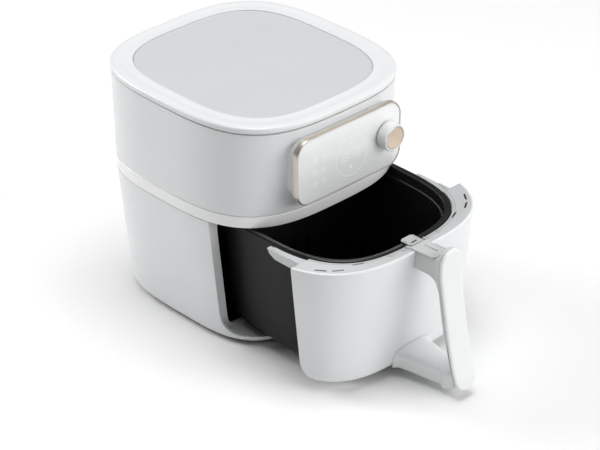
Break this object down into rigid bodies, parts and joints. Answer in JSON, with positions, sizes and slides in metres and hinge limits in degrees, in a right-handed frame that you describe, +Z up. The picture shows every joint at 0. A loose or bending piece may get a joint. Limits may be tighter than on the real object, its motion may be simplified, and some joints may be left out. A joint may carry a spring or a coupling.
{
  "type": "air fryer",
  "caption": "Counter-top air fryer with a rounded-square tower body, front control panel and dial, and a pull-out drawer that carries a pan, a lift-out basket and a loop handle",
  "frame": {"origin": "centre of the underside of the whole object's bounding box, drawer out as at rest", "axes": "+Z up, the drawer slides out towards -Y, +X is the side with the dial"},
  "size_m": [0.318, 0.5561, 0.3295],
  "materials": {
    "white_plastic": "satin",
    "gloss_white": "gloss",
    "grey_plastic": "satin",
    "gold_trim": "brushed",
    "nonstick": "satin",
    "black_plastic": "matte",
    "rubber": "matte",
    "steel": "brushed",
    "circuit_board": "satin"
  },
  "bodies": {
    "housing": {"lower_housing": "white_plastic", "upper_housing": "white_plastic", "top_cover": "white_plastic", "trim_band": "gloss_white", "panel_face": "gloss_white", "top_inlay": "grey_plastic", "rear_grille": "grey_plastic", "panel_bezel": "gold_trim", "chamber_liner": "nonstick", "base_plate": "black_plastic", "display_module": "black_plastic", "dial_encoder": "black_plastic", "guide_rail_left": "black_plastic", "guide_rail_right": "black_plastic", "drawer_switch": "black_plastic", "cord_gland": "rubber", "foot_front_left": "rubber", "foot_front_right": "rubber", "foot_rear_left": "rubber", "foot_rear_right": "rubber", "heat_shield": "steel", "heating_element": "steel", "fan_guard": "steel", "motor_bracket": "steel", "motor": "steel", "temperature_sensor": "steel", "base_screw_front_left": "steel", "base_screw_front_right": "steel", "base_screw_rear_left": "steel", "base_screw_rear_right": "steel", "control_board": "circuit_board", "power_board": "circuit_board"},
    "fan": {"fan_shaft": "steel", "hot_air_fan": "steel", "cooling_fan": "black_plastic"},
    "dial_stem": {"dial_shaft": "steel"},
    "dial": {"dial_skirt": "white_plastic", "dial_cap": "gold_trim"},
    "plunger": {"switch_plunger": "gloss_white"},
    "drawer": {"drawer_front": "white_plastic", "drawer_rim": "grey_plastic", "front_bracket": "grey_plastic", "pan": "nonstick", "handle_frame": "grey_plastic", "handle_cover": "white_plastic", "handle_strut": "white_plastic", "handle_screw_left": "steel", "handle_screw_right": "steel"},
    "basket": {"basket": "nonstick", "basket_lug": "grey_plastic"},
    "grid": {"basket_grid": "nonstick"}
  },
  "joints": [
    {"name": "drawer_slide", "type": "slide", "parent": "housing", "child": "drawer", "axis": [0, -1, 0], "range_m": [-0.147, 0.165]},
    {"name": "basket_lift", "type": "slide", "parent": "drawer", "child": "basket", "axis": [0, 0, 1], "range_m": [0, 0.0015]},
    {"name": "grid_lift", "type": "slide", "parent": "basket", "child": "grid", "axis": [0, 0, 1], "range_m": [0, 0.14]},
    {"name": "dial_press", "type": "slide", "parent": "housing", "child": "dial_stem", "axis": [0, 1, 0], "range_m": [0, 0.0012], "stiffness_N_per_m": 600},
    {"name": "dial_turn", "type": "hinge", "parent": "dial_stem", "child": "dial", "pos_m": [0.0645, -0.07395, 0.268], "axis": [0, 1, 0], "continuous": true},
    {"name": "fan_spin", "type": "hinge", "parent": "housing", "child": "fan", "pos_m": [0, 0.11105, 0.24], "axis": [0, 0, 1], "continuous": true},
    {"name": "switch_press", "type": "slide", "parent": "housing", "child": "plunger", "axis": [0, 1, 0], "range_m": [0, 0.002], "stiffness_N_per_m": 60}
  ]
}
